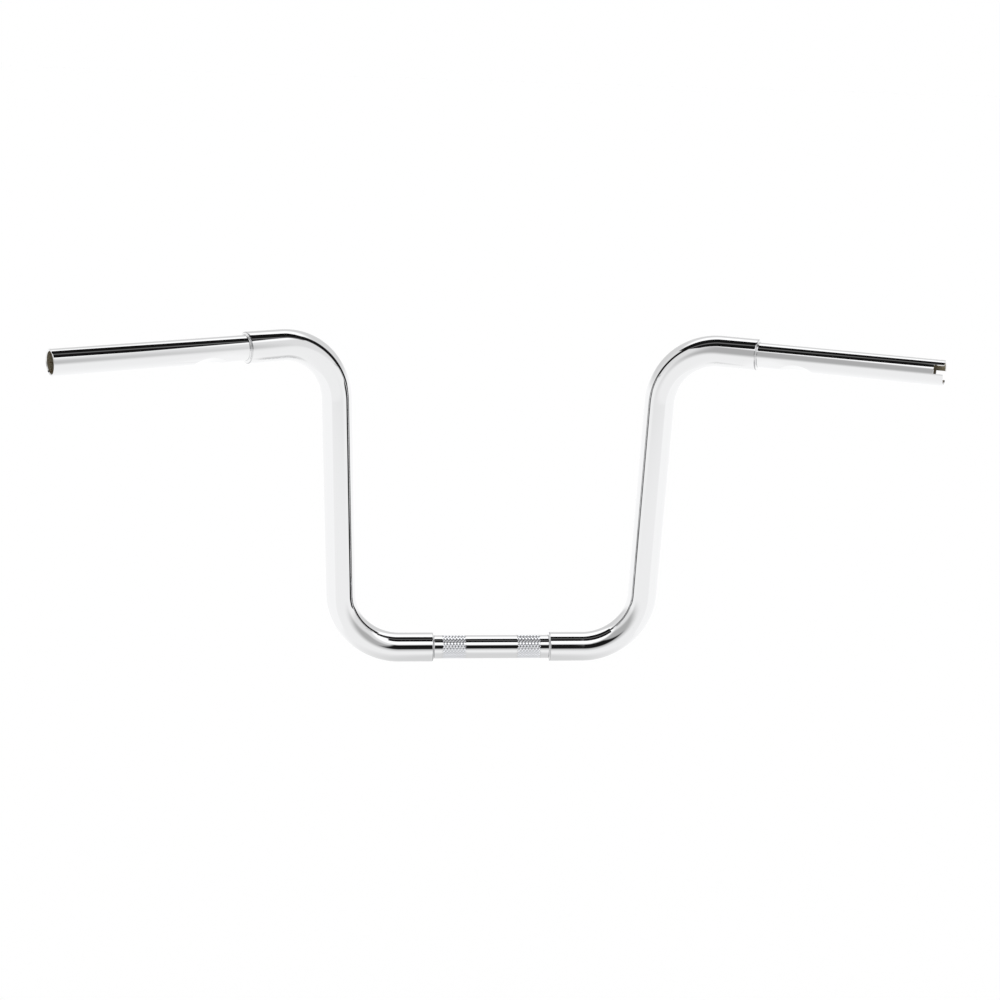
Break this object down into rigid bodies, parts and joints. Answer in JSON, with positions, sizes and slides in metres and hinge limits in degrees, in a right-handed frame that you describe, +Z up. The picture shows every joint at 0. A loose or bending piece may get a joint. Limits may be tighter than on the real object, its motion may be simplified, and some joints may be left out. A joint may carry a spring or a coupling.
{
  "type": "ape hanger handlebar",
  "caption": "High U-shaped motorbike handlebar of fat chromed tube, stepped down to thinner tube at the clamp and at both pulled-back grips.",
  "frame": {"origin": "middle of the clamp tube, on its axis", "axes": "+X along the clamp tube to the rider's right, +Y forwards, +Z up in the plane of the risers"},
  "size_m": [0.8639, 0.1669, 0.3726],
  "materials": {
    "chrome": "polished chrome plate"
  },
  "bodies": {
    "root": {"clamp_tube": "chrome", "left_riser": "chrome", "right_riser": "chrome", "left_grip": "chrome", "right_grip": "chrome"}
  },
  "joints": []
}
